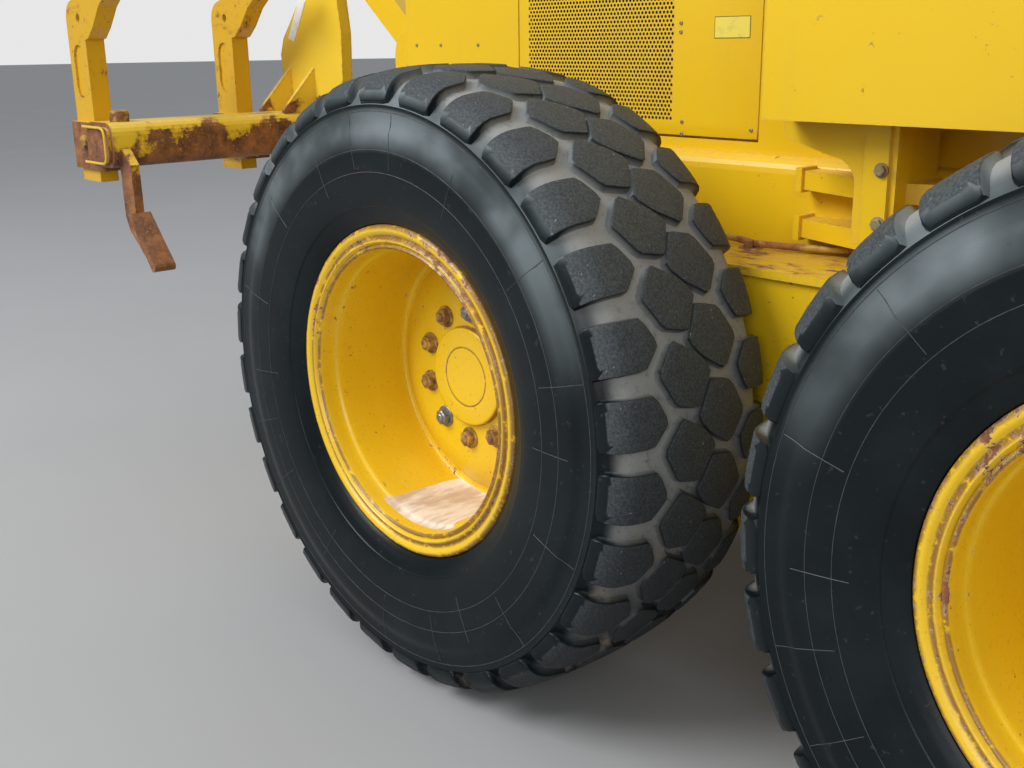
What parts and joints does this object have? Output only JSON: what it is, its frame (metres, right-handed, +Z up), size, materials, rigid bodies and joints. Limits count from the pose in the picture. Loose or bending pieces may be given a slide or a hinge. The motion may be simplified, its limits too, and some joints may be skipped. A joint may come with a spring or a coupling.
{
  "type": "motor grader",
  "caption": "Articulated motor grader with tandem rear wheels, arched front frame, cab, turning blade, steered front axle and rear ripper.",
  "frame": {"origin": "middle of the bounding box's base: on the ground, halfway along and across the machine", "axes": "+X forwards towards the push block, +Y to the machine's left, +Z up"},
  "size_m": [9.905, 3.658, 3.29],
  "materials": {
    "paint_yellow": "worn golden yellow enamel, scratched and dusty",
    "tyre": "black rubber with brown dust in the grooves",
    "dark_steel": "dark grey coated steel",
    "rod_steel": "plated piston rod",
    "rusted_beam": "brown rusted steel with remains of yellow paint",
    "glass": "clear cab glass",
    "interior": "dark grey trim"
  },
  "bodies": {
    "rear": {"rear_frame": "paint_yellow", "axle_housing": "paint_yellow", "tandem_cases": "paint_yellow", "engine_block": "dark_steel", "hood": "paint_yellow", "side_panels": "paint_yellow", "rear_grille": "dark_steel", "stacks": "dark_steel", "side_tanks": "paint_yellow"},
    "engine_door_left": {"engine_door_left": "paint_yellow"},
    "engine_door_right": {"engine_door_right": "paint_yellow"},
    "wheel_rear_left": {"tyre_rear_left": "tyre", "rim_rear_left": "paint_yellow"},
    "wheel_rear_right": {"tyre_rear_right": "tyre", "rim_rear_right": "paint_yellow"},
    "wheel_middle_left": {"tyre_middle_left": "tyre", "rim_middle_left": "paint_yellow"},
    "wheel_middle_right": {"tyre_middle_right": "tyre", "rim_middle_right": "paint_yellow"},
    "wheel_front_left": {"tyre_front_left": "tyre", "rim_front_left": "paint_yellow"},
    "wheel_front_right": {"tyre_front_right": "tyre", "rim_front_right": "paint_yellow"},
    "front": {"front_frame": "paint_yellow", "lift_saddle": "paint_yellow", "push_block": "paint_yellow", "front_axle": "paint_yellow", "cab_base": "paint_yellow", "cab_posts": "paint_yellow", "cab_roof": "paint_yellow", "cab_glass": "glass", "cab_interior": "interior", "ladders": "dark_steel", "lamps": "dark_steel", "mirrors": "dark_steel"},
    "knuckle_left": {"knuckle_left": "paint_yellow"},
    "knuckle_right": {"knuckle_right": "paint_yellow"},
    "tie_rod": {"tie_rod": "dark_steel"},
    "steering_rod_left": {"steering_rod_left": "rod_steel"},
    "steering_rod_right": {"steering_rod_right": "rod_steel"},
    "cab_door_left": {"cab_door_left": "paint_yellow", "door_glass_left": "glass"},
    "cab_door_right": {"cab_door_right": "paint_yellow", "door_glass_right": "glass"},
    "drawbar": {"drawbar": "paint_yellow"},
    "circle": {"circle": "paint_yellow"},
    "yoke": {"blade_yoke": "paint_yellow"},
    "moldboard": {"moldboard": "paint_yellow"},
    "lift_barrels": {"lift_barrels": "paint_yellow"},
    "lift_rods": {"lift_rods": "rod_steel"},
    "shift_barrel": {"shift_barrel": "paint_yellow"},
    "shift_rod": {"shift_rod": "rod_steel"},
    "tip_barrel": {"tip_barrel": "paint_yellow"},
    "tip_rod": {"tip_rod": "rod_steel"},
    "ripper_arms": {"ripper_arms": "paint_yellow"},
    "ripper_links": {"ripper_links": "paint_yellow"},
    "ripper": {"ripper_beam": "rusted_beam", "ripper_shanks": "paint_yellow"},
    "ripper_barrel": {"ripper_barrel": "paint_yellow"},
    "ripper_rod": {"ripper_rod": "rod_steel"}
  },
  "joints": [
    {"name": "articulation", "type": "hinge", "parent": "rear", "child": "front", "pos_m": [-0.6975, 0, 0.875], "axis": [0, 0, 1], "range_deg": [-20, 20]},
    {"name": "spin_rear_left", "type": "hinge", "parent": "rear", "child": "wheel_rear_left", "pos_m": [-3.0085, 1.04, 0.665], "axis": [0, 1, 0], "continuous": true},
    {"name": "spin_rear_right", "type": "hinge", "parent": "rear", "child": "wheel_rear_right", "pos_m": [-3.0085, -1.04, 0.665], "axis": [0, 1, 0], "continuous": true},
    {"name": "spin_middle_left", "type": "hinge", "parent": "rear", "child": "wheel_middle_left", "pos_m": [-1.4865, 1.04, 0.665], "axis": [0, 1, 0], "continuous": true},
    {"name": "spin_middle_right", "type": "hinge", "parent": "rear", "child": "wheel_middle_right", "pos_m": [-1.4865, -1.04, 0.665], "axis": [0, 1, 0], "continuous": true},
    {"name": "steer_left", "type": "hinge", "parent": "front", "child": "knuckle_left", "pos_m": [3.8385, 0.715, 0.665], "axis": [0, 0, 1], "range_deg": [-50, 50]},
    {"name": "steer_right", "type": "hinge", "parent": "front", "child": "knuckle_right", "pos_m": [3.8385, -0.715, 0.665], "axis": [0, 0, 1], "range_deg": [-50.01, 50.01]},
    {"name": "spin_front_left", "type": "hinge", "parent": "knuckle_left", "child": "wheel_front_left", "pos_m": [3.8385, 1.04, 0.665], "axis": [0, 1, 0], "continuous": true},
    {"name": "spin_front_right", "type": "hinge", "parent": "knuckle_right", "child": "wheel_front_right", "pos_m": [3.8385, -1.04, 0.665], "axis": [0, 1, 0], "continuous": true},
    {"name": "tie_rod_turn", "type": "hinge", "parent": "knuckle_left", "child": "tie_rod", "pos_m": [3.6185, 0.715, 0.49], "axis": [0, 0, 1], "range_deg": [-50.01, 50.01]},
    {"name": "steering_slide_left", "type": "slide", "parent": "front", "child": "steering_rod_left", "axis": [0, 1, 0], "range_m": [-0.11501, 0.11501]},
    {"name": "steering_slide_right", "type": "slide", "parent": "front", "child": "steering_rod_right", "axis": [0, 1, 0], "range_m": [-0.11501, 0.11501]},
    {"name": "cab_door_left_swing", "type": "hinge", "parent": "front", "child": "cab_door_left", "pos_m": [-0.285, 0.733, 2.3], "axis": [0, 0, 1], "range_deg": [0, 90]},
    {"name": "cab_door_right_swing", "type": "hinge", "parent": "front", "child": "cab_door_right", "pos_m": [-0.285, -0.733, 2.3], "axis": [0, 0, -1], "range_deg": [0, 90]},
    {"name": "engine_door_left_lift", "type": "hinge", "parent": "rear", "child": "engine_door_left", "pos_m": [-3.0375, 0.514, 1.893], "axis": [1, 0, 0], "range_deg": [0, 75]},
    {"name": "engine_door_right_lift", "type": "hinge", "parent": "rear", "child": "engine_door_right", "pos_m": [-3.0375, -0.514, 1.893], "axis": [-1, 0, 0], "range_deg": [0, 75]},
    {"name": "drawbar_lift", "type": "hinge", "parent": "front", "child": "drawbar", "pos_m": [3.3525, 0, 0.9], "axis": [0, 1, 0], "range_deg": [-21.7, 10.4]},
    {"name": "circle_turn", "type": "hinge", "parent": "drawbar", "child": "circle", "pos_m": [1.4725, 0, 0.785], "axis": [0, 0, 1], "continuous": true},
    {"name": "blade_tip", "type": "hinge", "parent": "circle", "child": "yoke", "pos_m": [0.9475, 0, 0.225], "axis": [0, 1, 0], "range_deg": [-5, 40]},
    {"name": "blade_shift", "type": "slide", "parent": "yoke", "child": "moldboard", "axis": [0, -1, 0], "range_m": [-0.5, 0.5]},
    {"name": "lift_barrel_tilt", "type": "hinge", "parent": "front", "child": "lift_barrels", "pos_m": [1.3125, 0, 1.75], "axis": [0, 1, 0], "range_deg": [-8.25, 3.99]},
    {"name": "lift_rod_slide", "type": "slide", "parent": "lift_barrels", "child": "lift_rods", "axis": [-0.1354, 0, -0.9908], "range_m": [-0.38676, 0.80591]},
    {"name": "shift_barrel_tilt", "type": "hinge", "parent": "front", "child": "shift_barrel", "pos_m": [1.0525, -0.62, 1.5], "axis": [1, 0, 0], "range_deg": [-29.57, 14.2]},
    {"name": "shift_rod_slide", "type": "slide", "parent": "shift_barrel", "child": "shift_rod", "axis": [0, 0.9424, -0.3344], "range_m": [-0.18251, 0.37974]},
    {"name": "tip_barrel_tilt", "type": "hinge", "parent": "circle", "child": "tip_barrel", "pos_m": [0.6325, 0, 0.76], "axis": [0, 1, 0], "range_deg": [-16.55, 2.12]},
    {"name": "tip_rod_slide", "type": "slide", "parent": "tip_barrel", "child": "tip_rod", "axis": [0.1253, 0, -0.9921], "range_m": [-0.12891, 0.01699]},
    {"name": "ripper_lift", "type": "hinge", "parent": "rear", "child": "ripper_arms", "pos_m": [-4.0875, 0, 0.7], "axis": [0, -1, 0], "range_deg": [0, 50]},
    {"name": "ripper_link_turn", "type": "hinge", "parent": "rear", "child": "ripper_links", "pos_m": [-4.0875, 0, 1.33], "axis": [0, -1, 0], "range_deg": [0, 50.01]},
    {"name": "ripper_level", "type": "hinge", "parent": "ripper_arms", "child": "ripper", "pos_m": [-4.5375, 0, 1.07], "axis": [0, -1, 0], "range_deg": [-50.01, 0]},
    {"name": "ripper_barrel_tilt", "type": "hinge", "parent": "rear", "child": "ripper_barrel", "pos_m": [-4.0875, 0, 1.62], "axis": [0, 1, 0], "range_deg": [-6.48, 0]},
    {"name": "ripper_rod_slide", "type": "slide", "parent": "ripper_barrel", "child": "ripper_rod", "axis": [-0.5607, 0, -0.828], "range_m": [0, 0.48323]}
  ],
  "couplings": [
    {"joint": "steer_right", "follows": "steer_left", "ratio": 1},
    {"joint": "tie_rod_turn", "follows": "steer_left", "ratio": -1},
    {"joint": "steering_slide_left", "follows": "steer_left", "m_per_rad": 0.13167},
    {"joint": "steering_slide_right", "follows": "steer_left", "m_per_rad": 0.13167},
    {"joint": "lift_barrel_tilt", "follows": "drawbar_lift", "ratio": 0.37774},
    {"joint": "lift_rod_slide", "follows": "drawbar_lift", "m_per_rad": -2.1252},
    {"joint": "shift_barrel_tilt", "follows": "drawbar_lift", "ratio": 1.36},
    {"joint": "shift_rod_slide", "follows": "drawbar_lift", "m_per_rad": -1},
    {"joint": "tip_barrel_tilt", "follows": "blade_tip", "ratio": -0.41238},
    {"joint": "tip_rod_slide", "follows": "blade_tip", "m_per_rad": -0.18321},
    {"joint": "ripper_link_turn", "follows": "ripper_lift", "ratio": 1},
    {"joint": "ripper_level", "follows": "ripper_lift", "ratio": -1},
    {"joint": "ripper_barrel_tilt", "follows": "ripper_lift", "ratio": -0.12843},
    {"joint": "ripper_rod_slide", "follows": "ripper_lift", "m_per_rad": 0.55259}
  ]
}
